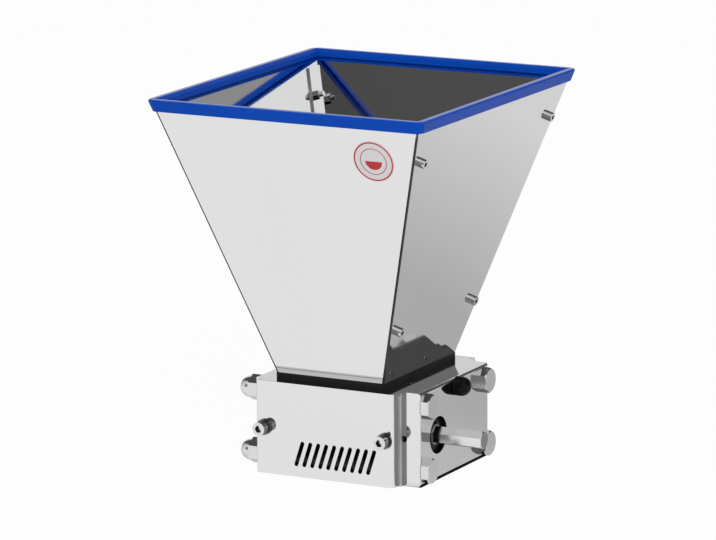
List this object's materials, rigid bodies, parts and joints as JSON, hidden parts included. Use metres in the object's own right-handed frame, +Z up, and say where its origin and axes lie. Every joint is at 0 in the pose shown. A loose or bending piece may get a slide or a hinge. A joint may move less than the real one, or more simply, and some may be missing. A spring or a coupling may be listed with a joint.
{
  "type": "malt mill",
  "caption": "Roller grain mill: fluted rollers geared together between side plates, with a gap adjuster, polished covers and a tapered sheet hopper, turned by a bare hexagonal drive shaft.",
  "frame": {"origin": "centre of the bounding box on the base plane that the side plates and covers stand on", "axes": "+Z up, the hopper's height; +X along the rollers towards the hexagonal drive end; the front cover faces -Y"},
  "size_m": [0.2236, 0.2586, 0.285],
  "materials": {
    "polished_sheet": "mirror-polished stainless sheet",
    "plate_steel": "ground plate",
    "fastener_steel": "bright fastener steel",
    "machined_steel": "machined steel",
    "carriage_aluminium": "milled aluminium",
    "blue_trim": "glossy blue edge trim",
    "black_knob": "glossy black",
    "black_rubber": "black rubber",
    "sticker": "printed film with plain rings"
  },
  "bodies": {
    "frame": {"left_side_plate": "plate_steel", "right_side_plate": "plate_steel", "front_cover": "polished_sheet", "rear_cover": "polished_sheet", "cover_screws": "fastener_steel", "cover_washers": "fastener_steel", "top_plate": "polished_sheet", "top_plate_screws": "fastener_steel", "hopper_seal": "black_rubber", "hopper_front_panel": "polished_sheet", "hopper_back_panel": "polished_sheet", "hopper_left_panel": "polished_sheet", "hopper_right_panel": "polished_sheet", "seam_screws": "fastener_steel", "seam_nuts": "fastener_steel", "hopper_base_screws": "fastener_steel", "rim_trim": "blue_trim", "round_sticker": "sticker", "gear_cover": "polished_sheet", "tie_bolts": "fastener_steel", "dome_nuts": "fastener_steel", "tie_washers": "fastener_steel", "spacer_tubes": "fastener_steel", "cover_spacers": "fastener_steel", "drive_bearings": "machined_steel"},
    "drive": {"drive_roller": "machined_steel", "drive_shaft": "machined_steel", "drive_gear": "machined_steel", "drive_key": "machined_steel", "drive_circlips": "machined_steel"},
    "carriage": {"left_carriage": "carriage_aluminium", "right_carriage": "carriage_aluminium", "idle_bearings": "machined_steel"},
    "idler": {"idle_roller": "machined_steel", "idle_shaft": "machined_steel", "idle_gear": "machined_steel", "idle_key": "machined_steel", "idle_circlips": "machined_steel"},
    "right_adjuster": {"right_spindle": "machined_steel", "right_knob": "black_knob"},
    "left_adjuster": {"left_spindle": "machined_steel", "left_knob": "black_knob"}
  },
  "joints": [
    {"name": "drive_spin", "type": "hinge", "parent": "frame", "child": "drive", "pos_m": [0, -0.0269, 0.033], "axis": [1, 0, 0], "continuous": true},
    {"name": "gap_slide", "type": "slide", "parent": "frame", "child": "carriage", "axis": [0, 1, 0], "range_m": [-0.00075, 0.00075]},
    {"name": "idle_spin", "type": "hinge", "parent": "carriage", "child": "idler", "pos_m": [0, 0.01585, 0.033], "axis": [1, 0, 0], "continuous": true},
    {"name": "right_adjuster_turn", "type": "hinge", "parent": "frame", "child": "right_adjuster", "pos_m": [0.073, 0.0022, 0.064], "axis": [1, 0, 0], "range_deg": [-45, 45]},
    {"name": "left_adjuster_turn", "type": "hinge", "parent": "frame", "child": "left_adjuster", "pos_m": [-0.063, 0.0022, 0.064], "axis": [1, 0, 0], "range_deg": [-45, 45]}
  ],
  "couplings": [
    {"joint": "idle_spin", "follows": "drive_spin", "ratio": -1},
    {"joint": "right_adjuster_turn", "follows": "gap_slide", "rad_per_m": -1040},
    {"joint": "left_adjuster_turn", "follows": "gap_slide", "rad_per_m": -1040}
  ]
}
